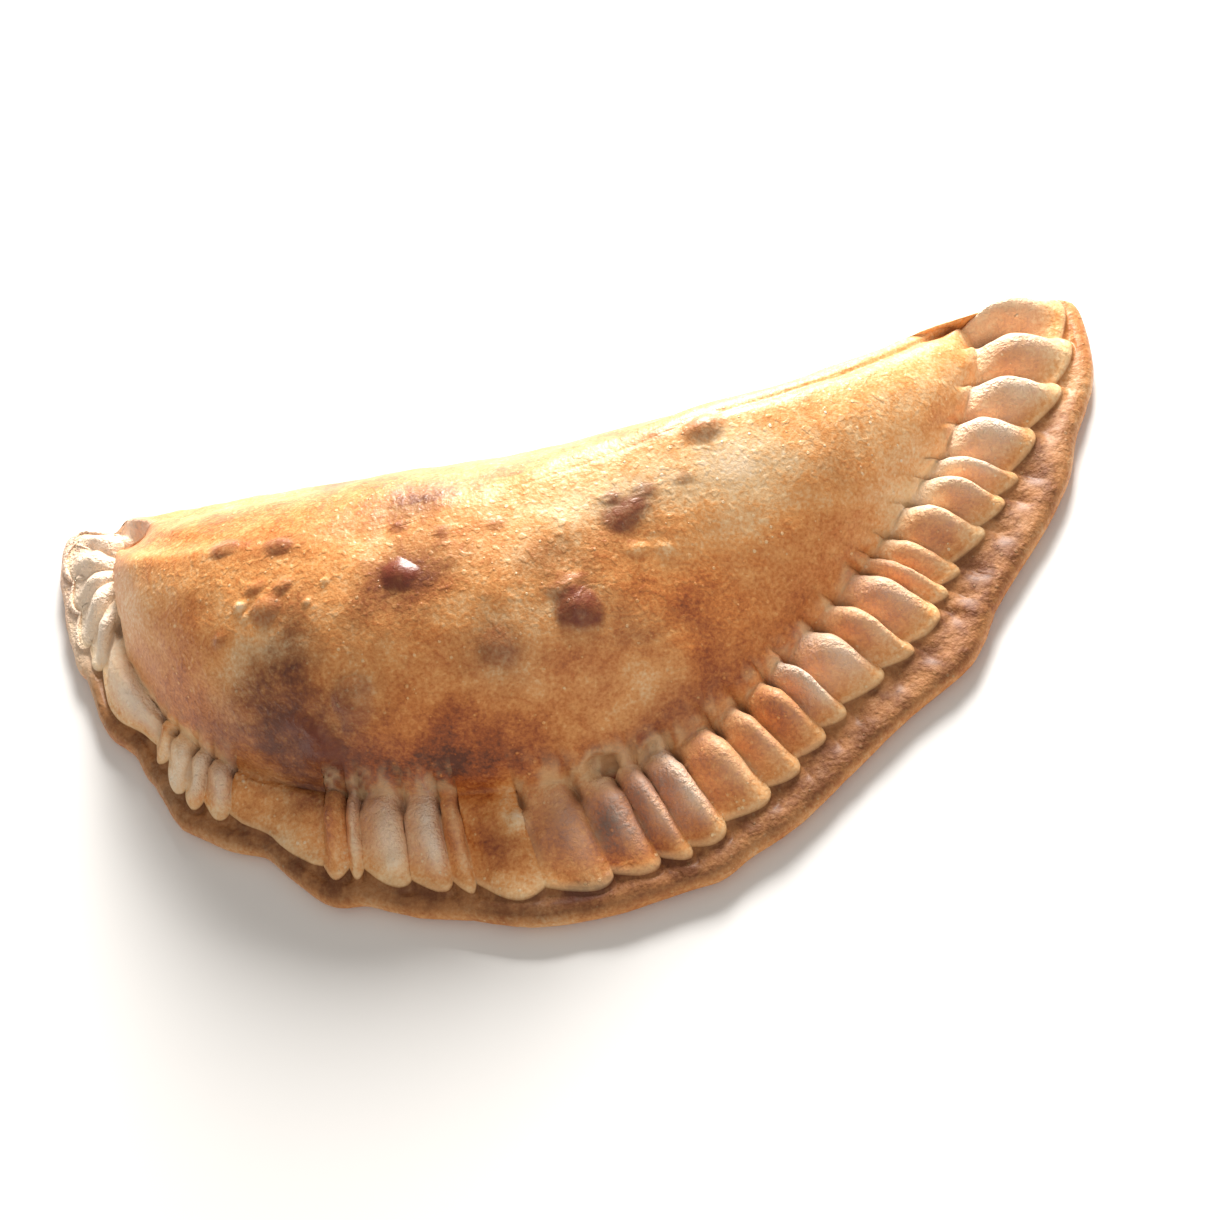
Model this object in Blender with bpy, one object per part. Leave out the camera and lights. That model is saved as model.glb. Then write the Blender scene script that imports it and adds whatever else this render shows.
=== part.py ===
"""A baked calzone: a folded round of dough, puffed into a dome and pinched shut along its curved front edge.

Metres, +Z up. X runs along the fold, -Y points to the pinched front edge, and the piece lies flat on Z = 0 with
the middle of its box at the origin. It is one closed solid: ring after ring of points, from the flat base round
the edge of the lower sheet, up over the pinches to the seam, and on to the top of the dome.
"""

import bmesh
import bpy
import numpy as np

MM = 0.001

# ---- plans of the outer edge and of the seam: half-moons with a sagging fold behind ----
EDGE_PLAN = {
    "deepest_x": -9 * MM,       # where the curve reaches furthest forward
    "half_right": 148.5 * MM,
    "half_left": 132.5 * MM,
    "depth": 127.6 * MM,        # from Y = 0 to the front
    "power_right": 1.53,        # superellipse powers: the right half is drawn out, the left half full
    "power_left": 1.86,
    "set_back_right": 26 * MM,  # how far the ends of the fold lie behind Y = 0
    "turns_from": 0 * MM,       # from this X on the fold turns back to its right end
    "set_back_left": 20 * MM,
    "sag": 25 * MM,             # how far its middle lies in front of its ends
    "wrap_right": 20 * MM,      # the pinches go on this far behind the right tip
    "wrap_left": 20 * MM,
}
SEAM_PLAN = {
    "deepest_x": -4 * MM,
    "half_right": 114 * MM,
    "half_left": 120 * MM,
    "depth": 95 * MM,
    "power_right": 1.36,
    "power_left": 2.4,
    "set_back_right": 27 * MM,
    "turns_from": 60 * MM,
    "set_back_left": 13 * MM,
    "sag": 25 * MM,
    "wrap_right": 9 * MM,
    "wrap_left": 10 * MM,
}
EDGE_LUMPS = (                  # share of the pinched stretch, half width of the lump there, and height
    (0.12, 0.020, -1.2 * MM),
    (0.27, 0.030, 2.1 * MM),
    (0.445, 0.012, 1.3 * MM),
    (0.655, 0.014, 2.0 * MM),
    (0.700, 0.016, -2.1 * MM),
    (0.760, 0.016, 1.8 * MM),
    (0.815, 0.014, -2.3 * MM),
    (0.890, 0.012, 1.6 * MM),
    (0.955, 0.040, 3.1 * MM),
)
FOLD_SAG_MIDDLE = 6 * MM
FOLD_SAG_POWER = 2.6
FOLD_SAG_REACH = 150 * MM
CORNER_SOFTENING = 6 * MM
PLAN_STEPS = 2400

# ---- border: the lower sheet's bare lip, then the pinches, then the seam ----
LIP_TOP = 6.0 * MM
LIP_WAIST = 2.8 * MM            # height at which the lip reaches furthest out
LIP_ROUNDING = 3.4 * MM
LIP_TIP = 5.2 * MM              # from the edge to where the upper sheet ends, at the right tip
LIP_RIGHT = 13 * MM             # and just after it
LIP_FRONT = 7.0 * MM
LIP_LEFT = 6.0 * MM
SEAM_FLOOR = 10.5 * MM
SHEET_STEP = 0.6 * MM           # thickness of the upper sheet where it ends on the lower one
SCALLOP = 3.0 * MM              # how far a pinch's outer end reaches past the grooves beside it
SEAM_CREASE = 1.0 * MM
PIT_DEPTH = 2.6 * MM            # of the hollow at each groove's inner end
PIT_REACH = 0.12                # as a share of the pinch's width
END_TAPER = 0.62                # part of a pinch's rise that it loses towards the seam
END_SHARPNESS = 2.2             # power that narrows a pinch to its crest towards its outer end

# ---- pinches, from the right tip to the left end: width along the edge and rise in mm, and skew ----
# A skew below 1 leans the crest over the groove before it; 1 is a round lobe.
PINCHES = (
    (24, 7.0, 0.80), (15, 6.4, 0.62), (15, 6.2, 0.60), (15, 5.8, 0.60), (8, 4.6, 0.60), (11, 6.2, 0.58),
    (13, 5.8, 0.55), (8, 3.0, 0.60), (6, 3.4, 0.60), (13, 5.6, 0.58), (10, 6.0, 0.58), (14, 6.2, 0.56),
    (8, 6.4, 0.56), (11, 5.6, 0.56), (10, 5.4, 0.56), (14, 5.6, 0.56), (10, 6.2, 0.56), (8, 4.6, 0.58),
    (12, 3.6, 0.58), (17, 2.4, 0.60), (17, 1.6, 0.90), (6, 3.0, 0.60), (11, 3.6, 0.60), (13, 3.8, 0.65),
    (4, 2.6, 0.80), (7, 5.2, 1.00), (31, 0.6, 1.00), (9, 2.8, 0.65), (7, 3.0, 0.65), (10, 3.0, 0.70),
    (6, 2.6, 0.80), (30, 5.0, 0.90), (11, 3.6, 0.75), (14, 4.4, 0.70), (14, 4.6, 0.70), (13, 4.6, 0.70),
    (10, 4.2, 0.80),
)
SHARP_PINCH = 2.0 * MM          # a pinch that rises more than this ends in a pit beside it
LEAN = 0.08                     # the grooves lean away from the place where they run straight in,
LEAN_FREE = 0.40                # which is at this share of the pinched stretch
LEAN_LEFT_END = 0.035           # the last folds are swept round further
FADE_RIGHT = 0.05
FADE_LEFT = 0.14
FOLD_BLEND_RIGHT = 3.5 * MM     # length over which the border turns into the rounded fold, at its right end
FOLD_BLEND_LEFT = 14 * MM

# ---- fold and dome ----
HEIGHT = 49 * MM
DOME_TOP = np.array([-45 * MM, -40.5 * MM])
DOME_LENGTHENING = 0.7          # the level lines shrink later along X than along Y
DOME_FULLNESS = 2.65            # powers of the dome's section: flat on top, steep at its foot
DOME_STEEPNESS = 0.75
DOME_SOFTENING = 60 * MM        # the dome's level lines lose the seam's corners towards its top
FOOT_FADE = 0.08                # share of the way up over which the pinches fade out
FOLD_WAIST = 16.5 * MM          # height at which the rounded fold reaches furthest back, in its middle
FOLD_RUN_OUT = 0.20             # share of the fold over which it grows from each of its ends
FOLD_GROWTH = 0.72              # power by which it does: below 1, quickly at first
FOLD_UNDERCUT = 12 * MM
SWELLS = (                      # height, span and turn of the slow waves in the dome
    (1.1 * MM, 21 * MM, 0.4),
    (0.7 * MM, 13 * MM, 2.1),
)

# ---- fineness: rings at these steps, and columns at these shares of each pinch ----
PINCH_PHASES = (0.0, 0.09, 0.24, 0.46, 0.70, 0.90)
FOLD_COLUMNS = 42
FOLD_CROWDING = 0.5             # how much closer the columns of the fold stand at its ends
EDGE_STEPS = (0.0, 1 / 3, 2 / 3, 1.0)
BORDER_STEPS = (-0.45, 0.0, 0.05, 0.24, 0.46, 0.66, 0.82, 0.92, 1.0)
DOME_STEPS = ((0.07, 2), (0.16, 2), (0.27, 2), (0.40, 2), (0.54, 4), (0.70, 4), (0.85, 8))     # step, thinning


def smooth(low, high, value):
    """0 below low, 1 above high, and an even S between them."""
    step = np.clip((value - low) / (high - low), 0.0, 1.0)
    return step * step * (3.0 - 2.0 * step)


def mix(first, second, share):
    return first + (second - first) * share


def length_of(points):
    return np.hypot(*(np.roll(points, -1, axis=0) - points).T).sum()


def resample(points, count):
    """The same closed curve with its points evenly spaced."""
    closed = np.vstack([points, points[:1]])
    travelled = np.r_[0.0, np.cumsum(np.hypot(*np.diff(closed, axis=0).T))]
    wanted = np.linspace(0.0, travelled[-1], count, endpoint=False)
    return np.stack([np.interp(wanted, travelled, closed[:, axis]) for axis in (0, 1)], axis=1)


def soften(points, radius):
    """Round the corners of a closed curve, by a bell-shaped average along it."""
    waves = np.fft.rfftfreq(len(points), d=length_of(points) / len(points))
    bell = np.exp(-2.0 * (np.pi * waves * radius) ** 2)
    return np.fft.irfft(np.fft.rfft(points, axis=0) * bell[:, None], n=len(points), axis=0)


class Plan:
    """A half-moon seen from above, clockwise from behind its right tip: the pinched stretch, then the fold."""

    def __init__(self, sizes, softening=CORNER_SOFTENING):
        points = resample(soften(resample(self.corners(sizes), PLAN_STEPS), softening), PLAN_STEPS)
        self.length = length_of(points)
        start = np.argmax(points[:, 0]) - round(sizes["wrap_right"] / self.length * PLAN_STEPS)
        self.points = np.roll(points, -start, axis=0)
        left_tip = np.argmin(self.points[:, 0]) / PLAN_STEPS
        self.pinched = left_tip * self.length + sizes["wrap_left"]

    @staticmethod
    def corners(sizes):
        turn = np.linspace(0.0, np.pi, PLAN_STEPS)
        power = 2.0 / mix(sizes["power_right"], sizes["power_left"], smooth(0.2 * np.pi, 0.8 * np.pi, turn))
        half = np.where(turn < np.pi / 2, sizes["half_right"], sizes["half_left"])
        front_x = sizes["deepest_x"] + half * np.sign(np.cos(turn)) * np.abs(np.cos(turn)) ** power
        front_y = -sizes["depth"] * np.sin(turn) ** power
        fold_x = np.linspace(front_x[-1], front_x[0], PLAN_STEPS)[1:-1]
        from_middle = np.abs(fold_x - FOLD_SAG_MIDDLE) / FOLD_SAG_REACH
        turned = smooth(sizes["turns_from"], fold_x[-1], fold_x)
        set_back = mix(sizes["set_back_left"], sizes["set_back_right"], turned)
        fold_y = set_back - sizes["sag"] * (1.0 - from_middle ** FOLD_SAG_POWER)
        return np.stack([np.r_[front_x, fold_x], np.r_[front_y, fold_y]], axis=1)

    def at(self, pinched_share, fold_share):
        """Points at shares of the pinched stretch, or of the fold where fold_share is above 0."""
        travelled = pinched_share * self.pinched + fold_share * (self.length - self.pinched)
        closed = np.vstack([self.points, self.points[:1]])
        steps = np.linspace(0.0, self.length, PLAN_STEPS + 1)
        return np.stack([np.interp(travelled, steps, closed[:, axis]) for axis in (0, 1)], axis=1)


def columns():
    """Shares of the pinched stretch and of the fold, number of the pinch and place across it, for every column."""
    widths = np.array([pinch[0] for pinch in PINCHES], float)
    grooves = np.r_[0.0, np.cumsum(widths)] / widths.sum()
    number = np.repeat(np.arange(len(PINCHES)), len(PINCH_PHASES))
    phase = np.tile(PINCH_PHASES, len(PINCHES))
    pinched_share = grooves[number] + phase * np.diff(grooves)[number]
    fold_share = np.linspace(0.0, 1.0, FOLD_COLUMNS, endpoint=False)
    fold_share = fold_share - FOLD_CROWDING * np.sin(2.0 * np.pi * fold_share) / (2.0 * np.pi)
    on_fold = np.ones(FOLD_COLUMNS)
    return (
        np.r_[pinched_share, on_fold],
        np.r_[np.zeros(len(number)), fold_share],
        np.r_[number, on_fold.astype(int) * len(PINCHES)],
        np.r_[phase, 0.0 * on_fold],
    )


def lip_width(share):
    """From the edge to where the upper sheet ends: little at the right tip, and most just after it."""
    right = mix(LIP_TIP, LIP_RIGHT, smooth(0.03, 0.17, share))
    return mix(mix(right, LIP_FRONT, smooth(0.25, 0.50, share)), LIP_LEFT, smooth(0.62, 0.85, share))


def lean_at(share):
    """Share of the pinched stretch by which a groove's inner end is moved on; none at the two ends."""
    lean = LEAN * (share - LEAN_FREE) + LEAN_LEFT_END * smooth(0.80, 0.88, share)
    return lean * smooth(0.0, FADE_RIGHT, share) * smooth(0.0, FADE_LEFT, 1.0 - share)


def dome_section(share):
    """Height, 1 on top, at a distance from the top given as a share of the way down to the foot."""
    return (1.0 - np.clip(share, 0.0, 1.0) ** DOME_FULLNESS) ** DOME_STEEPNESS


class Crust:
    """Rings of points round the crust; every array here has one value for each column."""

    def __init__(self, share, fold_share, number, phase):
        edge_plan = Plan(EDGE_PLAN)
        self.edge = edge_plan.at(share, fold_share)
        self.seam_place = (share + lean_at(share), fold_share)
        self.seam = Plan(SEAM_PLAN).at(*self.seam_place)
        self.border = np.hypot(*(self.seam - self.edge).T)
        self.inward = (self.seam - self.edge) / self.border[:, None]
        self.to_top = np.hypot(*(self.seam - DOME_TOP).T)
        from_pinches = np.minimum(fold_share, 1.0 - fold_share)
        fold_length = edge_plan.length - edge_plan.pinched
        self.fold = smooth(0.0, FOLD_BLEND_LEFT, fold_share * fold_length)
        self.fold = self.fold * smooth(0.0, FOLD_BLEND_RIGHT, (1.0 - fold_share) * fold_length)
        grown = np.clip(from_pinches / FOLD_RUN_OUT, 0.0, 1.0) ** FOLD_GROWTH
        self.waist = mix(SEAM_FLOOR, FOLD_WAIST, grown)
        self.shoulder = mix(1.0, self.to_top / (self.border + self.to_top), grown)
        lumps = sum(height * np.exp(-((share - place) / width) ** 2) for place, width, height in EDGE_LUMPS)
        self.edge = self.edge - self.inward * lumps[:, None]
        self.border = self.border + lumps
        self.rise = np.array([pinch[1] for pinch in PINCHES] + [0.0])[number] * MM
        skew = np.array([pinch[2] for pinch in PINCHES] + [1.0])[number]
        self.crest = np.sin(np.pi * phase ** skew)
        self.lip = lip_width(share) + SCALLOP * (0.5 - self.crest)
        beside_groove = np.minimum(phase, 1.0 - phase) / PIT_REACH
        self.pit = PIT_DEPTH * np.exp(-beside_groove ** 2) * (self.rise > SHARP_PINCH)

    def ring(self, inset, height):
        """One ring between edge and seam, at a distance from the edge."""
        plan = self.edge + self.inward * inset[:, None]
        return np.column_stack([plan, height])

    def edge_ring(self, step):
        """From the base (0) round the outside: to the top of the lip, or to the waist of the fold (1)."""
        angle = np.pi * (step - 0.5)
        lip_inset = LIP_ROUNDING * (1.0 - np.cos(angle))
        half_height = LIP_WAIST if step < 0.5 else LIP_TOP - LIP_WAIST
        lip_height = LIP_WAIST + half_height * np.sin(angle)
        fold_inset = FOLD_UNDERCUT * (1.0 - np.sin(np.pi / 2 * step))
        fold_height = self.waist * (1.0 - np.cos(np.pi / 2 * step))
        return self.ring(mix(lip_inset, fold_inset, self.fold), mix(lip_height, fold_height, self.fold))

    def border_ring(self, step):
        """From the lip's outer edge (-1) to the end of the upper sheet (0) and over the pinches to the seam (1)."""
        if step < 0.0:
            inset = mix(self.lip, LIP_ROUNDING, -step)
        else:
            inset = mix(self.lip, self.border, step)
        fold_inset = self.border * ((step + 1.0) / 2.0) ** 2
        from_top = mix(1.0, self.shoulder, fold_inset / self.border)
        height = mix(self.border_height(step), self.fold_height(from_top), self.fold)
        return self.ring(mix(inset, fold_inset, self.fold), height)

    def border_height(self, step):
        floor = mix(LIP_TOP, SEAM_FLOOR, smooth(-0.2, 1.0, step)) + SHEET_STEP * smooth(0.0, 0.05, step)
        body = smooth(-0.10, 0.56, step) * (1.0 - END_TAPER * smooth(0.60, 1.0, step))
        ridge = self.crest ** mix(END_SHARPNESS, 1.0, smooth(0.0, 0.6, step))
        crease = SEAM_CREASE * smooth(0.85, 1.0, step)
        pit = self.pit * smooth(0.68, 0.86, step) * (1.0 - 0.4 * smooth(0.92, 1.0, step))
        return floor + self.rise * ridge * body - crease - pit

    def fold_height(self, from_top):
        return self.waist + (HEIGHT - self.waist) * dome_section(from_top)

    def dome_ring(self, step):
        """From the seam (0) to the top of the dome (1)."""
        level_line = Plan(SEAM_PLAN, CORNER_SOFTENING + DOME_SOFTENING * step).at(*self.seam_place)
        shrunk = (1.0 - step) * np.array([1.0 + DOME_LENGTHENING * step, 1.0])
        plan = DOME_TOP + (level_line - DOME_TOP) * shrunk
        from_top = np.hypot(*(plan - DOME_TOP).T) / self.to_top
        foot = (self.border_height(1.0) - SEAM_FLOOR) * (1.0 - smooth(0.0, FOOT_FADE, step))
        front_height = SEAM_FLOOR + foot + (HEIGHT - SEAM_FLOOR) * dome_section(from_top)
        fold_height = self.fold_height(self.shoulder * from_top)
        return swollen(np.column_stack([plan, mix(front_height, fold_height, self.fold)]))


def swollen(points):
    """Slow unevenness of the dough, which leaves the foot of the dome as it is."""
    x, y, z = points.T
    waves = sum(height * np.sin(x / span + turn) * np.cos(y / span - turn) for height, span, turn in SWELLS)
    return np.stack([x, y, z + waves * smooth(SEAM_FLOOR, HEIGHT / 2, z)], axis=1)


def crust_rings():
    """All rings, from the rim of the base to near the top of the dome."""
    crust = Crust(*columns())
    rings = [crust.edge_ring(step) for step in EDGE_STEPS]
    rings += [crust.border_ring(step) for step in BORDER_STEPS]
    rings += [crust.dome_ring(step)[::thinning] for step, thinning in DOME_STEPS]
    return rings


def join_rings(bm, lower, upper):
    """Faces between two rings, of which one may have half as many points as the other."""
    fine, coarse = (lower, upper) if len(lower) >= len(upper) else (upper, lower)
    for here, corner in enumerate(coarse):
        after = coarse[(here + 1) % len(coarse)]
        if len(fine) == len(coarse):
            bm.faces.new((corner, after, fine[(here + 1) % len(fine)], fine[here]))
        else:
            first, between, last = (fine[(2 * here + offset) % len(fine)] for offset in range(3))
            bm.faces.new((corner, between, first))
            bm.faces.new((corner, after, between))
            bm.faces.new((after, last, between))


def close_dome(bm, ring):
    top = bm.verts.new(swollen(np.array([[*DOME_TOP, HEIGHT]]))[0])
    for here, point in enumerate(ring):
        bm.faces.new((point, ring[(here + 1) % len(ring)], top))


def centre_on_floor(bm):
    """Move the solid so that the middle of its box stands over the origin."""
    points = np.array([vert.co for vert in bm.verts])
    middle = (points.min(axis=0) + points.max(axis=0)) / 2
    bmesh.ops.translate(bm, vec=(-middle[0], -middle[1], -points[:, 2].min()), verts=bm.verts)


def crust_mesh():
    bm = bmesh.new()
    rings = [[bm.verts.new(point) for point in ring] for ring in crust_rings()]
    for lower, upper in zip(rings, rings[1:]):
        join_rings(bm, lower, upper)
    bm.faces.new(rings[0])
    close_dome(bm, rings[-1])
    bmesh.ops.recalc_face_normals(bm, faces=bm.faces)
    centre_on_floor(bm)
    mesh = bpy.data.meshes.new("crust")
    bm.to_mesh(mesh)
    bm.free()
    return mesh


def baked_dough():
    material = bpy.data.materials.new("baked_dough")
    material.use_nodes = True
    surface = material.node_tree.nodes["Principled BSDF"]
    surface.inputs["Base Color"].default_value = (0.62, 0.30, 0.10, 1.0)
    surface.inputs["Roughness"].default_value = 0.55
    surface.inputs["Metallic"].default_value = 0.0
    return material


def main():
    for old in list(bpy.data.objects):
        bpy.data.objects.remove(old)
    mesh = crust_mesh()
    mesh.shade_smooth()
    mesh.set_sharp_from_angle(angle=np.radians(50))
    mesh.materials.append(baked_dough())
    crust = bpy.data.objects.new("crust", mesh)
    bpy.context.scene.collection.objects.link(crust)


main()
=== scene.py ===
"""The calzone as it is seen: its crust at full fineness, with blisters, scorch marks and flour, on a pale floor.

The crust follows the same rules as the solid that it replaces: closed rings of points run from the flat base
round the edge of the lower sheet, up over the pinches to the seam, and on to the top of the dome. Here the rings
lie close together, and the baked surface is worked into them: blisters, lumps, wrinkles, a torn seam. What is
finer still is in the finish. Sizes are in metres, +Z is up, and the pinched front edge points to -Y.
"""

import bpy
import numpy as np
from mathutils import Matrix, Vector, noise


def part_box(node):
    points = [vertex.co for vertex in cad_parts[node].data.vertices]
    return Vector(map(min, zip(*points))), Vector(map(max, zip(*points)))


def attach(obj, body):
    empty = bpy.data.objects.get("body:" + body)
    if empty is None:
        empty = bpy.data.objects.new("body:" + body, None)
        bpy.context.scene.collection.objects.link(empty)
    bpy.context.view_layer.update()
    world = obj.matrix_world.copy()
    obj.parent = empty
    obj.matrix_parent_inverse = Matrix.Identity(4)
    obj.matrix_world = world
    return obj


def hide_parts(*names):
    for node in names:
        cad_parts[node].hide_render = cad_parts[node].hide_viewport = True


MM = 0.001

# ---- plans of the outer edge and of the seam: half-moons with a sagging fold behind ----
EDGE_PLAN = {
    "deepest_x": -9 * MM,       # where the curve reaches furthest forward
    "half_right": 148.5 * MM,
    "half_left": 132.5 * MM,
    "depth": 127.6 * MM,        # from Y = 0 to the front
    "power_right": 1.53,        # superellipse powers: the right half is drawn out, the left half full
    "power_left": 1.86,
    "set_back_right": 26 * MM,  # how far the ends of the fold lie behind Y = 0
    "turns_from": 0 * MM,       # from this X on the fold turns back to its right end
    "set_back_left": 20 * MM,
    "sag": 25 * MM,             # how far its middle lies in front of its ends
    "wrap_right": 20 * MM,      # the pinches go on this far behind the right tip
    "wrap_left": 20 * MM,
}
SEAM_PLAN = {
    "deepest_x": -4 * MM,
    "half_right": 114 * MM,
    "half_left": 120 * MM,
    "depth": 95 * MM,
    "power_right": 1.36,
    "power_left": 2.4,
    "set_back_right": 27 * MM,
    "turns_from": 60 * MM,
    "set_back_left": 13 * MM,
    "sag": 25 * MM,
    "wrap_right": 9 * MM,
    "wrap_left": 10 * MM,
}
EDGE_LUMPS = (                  # share of the pinched stretch, half width of the lump there, and height
    (0.12, 0.020, -1.2 * MM),
    (0.27, 0.030, 2.1 * MM),
    (0.445, 0.012, 1.3 * MM),
    (0.655, 0.014, 2.0 * MM),
    (0.700, 0.016, -2.1 * MM),
    (0.760, 0.016, 1.8 * MM),
    (0.815, 0.014, -2.3 * MM),
    (0.890, 0.012, 1.6 * MM),
    (0.955, 0.040, 3.1 * MM),
)
EDGE_CUTS = 34                  # straight cuts along the lower sheet's edge
EDGE_CUT_DEPTH = 1.1 * MM
FOLD_SAG_MIDDLE = 6 * MM
FOLD_SAG_POWER = 2.6
FOLD_SAG_REACH = 150 * MM
CORNER_SOFTENING = 6 * MM
PLAN_STEPS = 2400

# ---- border: the lower sheet's bare lip, then the pinches, then the seam ----
LIP_TOP = 6.0 * MM
LIP_WAIST = 2.8 * MM            # height at which the lip reaches furthest out
LIP_ROUNDING = 3.4 * MM
LIP_TIP = 5.2 * MM              # from the edge to where the upper sheet ends, at the right tip
LIP_RIGHT = 13 * MM             # and just after it
LIP_FRONT = 7.0 * MM
LIP_LEFT = 6.0 * MM
SEAM_FLOOR = 10.5 * MM
SHEET_STEP = 0.6 * MM           # thickness of the upper sheet where it ends on the lower one
SCALLOP = 3.0 * MM              # how far a pinch's outer end reaches past the grooves beside it
SEAM_CREASE = 1.0 * MM
PIT_DEPTH = 2.6 * MM            # of the hollow at each groove's inner end
PIT_REACH = 0.12                # as a share of the pinch's width
END_TAPER = 0.62                # part of a pinch's rise that it loses towards the seam
END_SHARPNESS = 2.2             # power that narrows a pinch to its crest towards its outer end
OVERHANG = 0.9 * MM             # how far a pinch's crest leans over the groove before it

# ---- pinches, from the right tip to the left end: width along the edge and rise in mm, skew, flour, browning ----
# A skew below 1 leans the crest over the groove before it; 1 is a round lobe.
PINCHES = (
    (24, 7.0, 0.80, 0.8, 0.0), (15, 6.4, 0.62, 0.6, 0.5), (15, 6.2, 0.60, 0.9, 0.1), (15, 5.8, 0.60, 1.0, 0.0),
    (8, 4.6, 0.60, 0.8, 0.1), (11, 6.2, 0.58, 0.6, 0.7), (13, 5.8, 0.55, 0.4, 0.9), (8, 3.0, 0.60, 0.3, 0.3),
    (6, 3.4, 0.60, 0.4, 0.2), (13, 5.6, 0.58, 0.6, 0.7), (10, 6.0, 0.58, 0.4, 0.7), (14, 6.2, 0.56, 0.8, 0.2),
    (8, 6.4, 0.56, 1.0, 0.1), (11, 5.6, 0.56, 0.2, 1.0), (10, 5.4, 0.56, 0.3, 0.6), (14, 5.6, 0.56, 0.3, 0.9),
    (10, 6.2, 0.56, 0.9, 0.3), (8, 4.6, 0.58, 0.6, 0.3), (12, 3.6, 0.58, 0.5, 0.2), (17, 2.4, 0.60, 0.3, 0.1),
    (17, 1.6, 0.90, 0.0, 0.8), (6, 3.0, 0.60, 0.2, 0.5), (11, 3.6, 0.60, 1.0, 0.1), (13, 3.8, 0.65, 0.8, 0.1),
    (4, 2.6, 0.80, 0.6, 0.1), (7, 5.2, 1.00, 0.1, 0.9), (31, 0.6, 1.00, 0.0, 0.1), (9, 2.8, 0.65, 0.7, 0.1),
    (7, 3.0, 0.65, 0.8, 0.2), (10, 3.0, 0.70, 0.4, 0.6), (6, 2.6, 0.80, 0.1, 0.9), (30, 5.0, 0.90, 1.0, 0.0),
    (11, 3.6, 0.75, 1.0, 0.0), (14, 4.4, 0.70, 1.0, 0.1), (14, 4.6, 0.70, 1.0, 0.1), (13, 4.6, 0.70, 1.0, 0.0),
    (10, 4.2, 0.80, 1.0, 0.0),
)
SHARP_PINCH = 2.0 * MM          # a pinch that rises more than this ends in a pit beside it
LEAN = 0.08                     # the grooves lean away from the place where they run straight in,
LEAN_FREE = 0.40                # which is at this share of the pinched stretch
LEAN_LEFT_END = 0.035           # the last folds are swept round further
FADE_RIGHT = 0.05
FADE_LEFT = 0.14
FOLD_BLEND_RIGHT = 3.5 * MM     # length over which the border turns into the rounded fold, at its right end
FOLD_BLEND_LEFT = 14 * MM
LEFT_END_FROM = 0.86            # share of the pinched stretch where the floured folds at the left end begin,
LEFT_END_FOLD = 18 * MM         # and how far they go on behind it
LEFT_END_FILL = 2.0 * MM        # how much shallower their grooves are, and how much higher their lip

# ---- fold and dome ----
HEIGHT = 49 * MM
DOME_TOP = np.array([-45 * MM, -40.5 * MM])
DOME_LENGTHENING = 0.7          # the level lines shrink later along X than along Y
DOME_FULLNESS = 2.65            # powers of the dome's section: flat on top, steep at its foot
DOME_STEEPNESS = 0.75
DOME_SOFTENING = 60 * MM        # the dome's level lines lose the seam's corners towards its top
FOOT_FADE = 0.08                # share of the way up over which the pinches fade out
FOLD_WAIST = 16.5 * MM          # height at which the rounded fold reaches furthest back, in its middle
FOLD_RUN_OUT = 0.20             # share of the fold over which it grows from each of its ends
FOLD_GROWTH = 0.72              # power by which it does: below 1, quickly at first
FOLD_UNDERCUT = 12 * MM
SWELLS = (                      # height, span and turn of the slow waves in the dome
    (1.1 * MM, 21 * MM, 0.4),
    (0.7 * MM, 13 * MM, 2.1),
)

# ---- fineness: points round the crust, and rings on each of its stretches ----
COLUMNS_PER_PINCH = 8
COLUMNS_PER_MM = 0.8
PHASE_CROWDING = 0.09           # draws the columns of a pinch towards its two grooves
FOLD_COLUMNS = 136
FOLD_CROWDING = 0.5             # how much closer the columns of the fold stand at its ends
BASE_STEPS = (0.75, 0.5, 0.25)
EDGE_STEPS = np.linspace(0.0, 1.0, 7)
LIP_STEPS = (-0.8, -0.6, -0.42, -0.28, -0.16, -0.07, -0.02, 0.0)
PINCH_STEPS = np.r_[0.02, 0.05, np.linspace(0.09, 1.0, 25)]
DOME_STEPS = np.linspace(0.0, 1.0, 78)[1:-1] ** 1.08
FOLD_EASING = 70                # rounds of averaging that take the seam out of the fold
MERGE_DISTANCE = 0.002 * MM

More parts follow.
